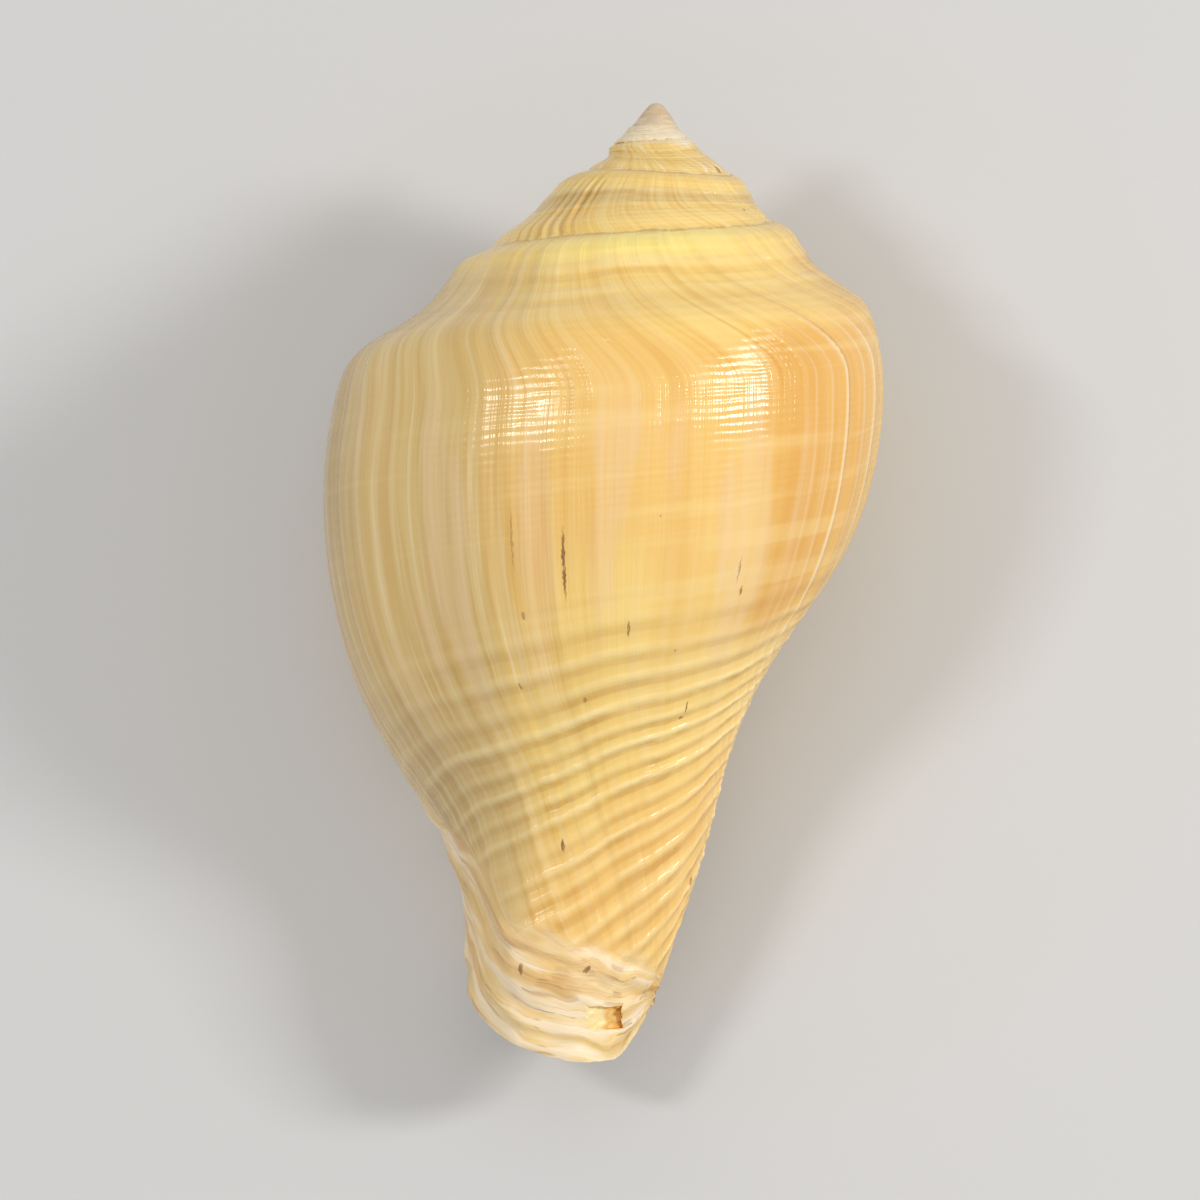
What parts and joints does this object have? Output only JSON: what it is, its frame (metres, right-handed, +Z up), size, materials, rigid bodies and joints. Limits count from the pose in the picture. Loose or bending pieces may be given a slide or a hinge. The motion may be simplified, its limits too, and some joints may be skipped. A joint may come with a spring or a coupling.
{
  "type": "pear melongena shell",
  "caption": "Empty pear-shaped spiral sea snail shell with a low stepped spire, a smooth rounded shoulder, an open mouth and a tapering canal, lying on its mouth side.",
  "frame": {"origin": "centre of the bounding box's bottom face, on the surface that the shell lies on", "axes": "+Z up from that surface, +Y towards the apex, +X to the shell's right side as seen from above"},
  "size_m": [0.0382, 0.0648, 0.0315],
  "materials": {
    "shell": "glossy, cream to golden yellow with fine growth lines"
  },
  "bodies": {
    "root": {"shell": "shell"}
  },
  "joints": []
}
